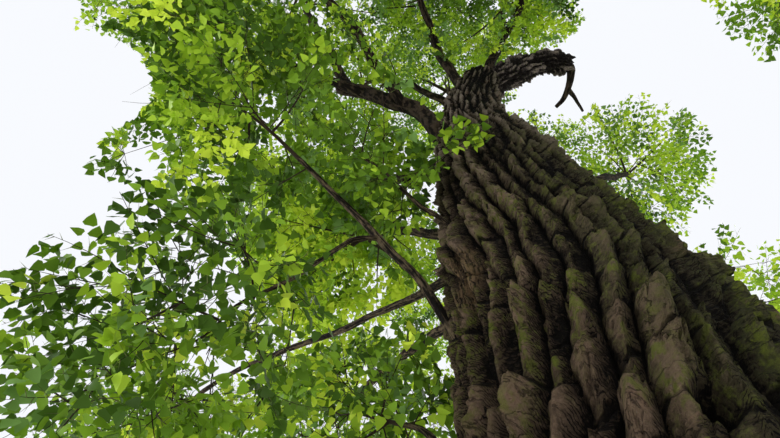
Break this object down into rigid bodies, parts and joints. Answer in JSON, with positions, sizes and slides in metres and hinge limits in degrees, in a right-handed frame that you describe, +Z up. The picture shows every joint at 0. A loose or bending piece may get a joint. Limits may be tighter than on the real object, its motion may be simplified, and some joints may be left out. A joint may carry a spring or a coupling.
{
  "type": "poplar tree",
  "caption": "Old poplar tree with a thick, deeply furrowed trunk, a broken dead limb at the fork, and an open crown of leafy masses.",
  "frame": {"origin": "centre of the flat cut under the trunk, at ground level", "axes": "+Z up along the trunk; the pictured low boughs leave towards -X"},
  "size_m": [14.6262, 14.7144, 20.9155],
  "materials": {
    "trunk_bark": "deep ridged dark bark with moss on the ridges",
    "bough_bark": "finely cracked dark bark",
    "dead_wood": "pale weathered bark and wood",
    "foliage": "smooth green leaves, paler where light comes through"
  },
  "bodies": {
    "root": {"trunk": "trunk_bark", "great_left_bough": "bough_bark", "great_left_upper": "bough_bark", "left_bough": "bough_bark", "front_left_low_bough": "bough_bark", "low_left_bough": "bough_bark", "near_left_shoot": "bough_bark", "side_left_bough": "bough_bark", "trunk_left_shoot": "bough_bark", "low_shoot": "bough_bark", "fork_left_leader": "bough_bark", "front_left_bough": "bough_bark", "front_low_bough": "bough_bark", "fork_middle_leader": "bough_bark", "front_right_bough": "bough_bark", "right_bough": "bough_bark", "dead_limb": "dead_wood", "dead_crook": "dead_wood", "dead_prong": "dead_wood", "back_leader": "bough_bark", "top_back_bough": "bough_bark", "back_bough": "bough_bark", "back_left_bough": "bough_bark", "low_back_left_bough": "bough_bark", "low_back_bough": "bough_bark", "mid_left_bough": "bough_bark", "upper_back_left_bough": "bough_bark", "right_back_bough": "bough_bark", "right_back_low_bough": "bough_bark", "right_low_bough": "bough_bark", "near_left_foliage": "foliage", "low_left_foliage": "foliage", "trunk_left_foliage": "foliage", "inner_left_foliage": "foliage", "side_left_foliage": "foliage", "left_foliage": "foliage", "upper_left_foliage": "foliage", "front_left_low_foliage": "foliage", "top_left_foliage": "foliage", "front_left_foliage": "foliage", "front_low_foliage": "foliage", "top_front_foliage": "foliage", "front_right_foliage": "foliage", "right_foliage": "foliage", "top_foliage": "foliage", "top_back_foliage": "foliage", "back_foliage": "foliage", "back_left_foliage": "foliage", "low_back_left_foliage": "foliage", "low_back_foliage": "foliage", "mid_left_foliage": "foliage", "upper_back_left_foliage": "foliage", "right_back_foliage": "foliage", "right_back_low_foliage": "foliage", "right_low_foliage": "foliage"}
  },
  "joints": []
}
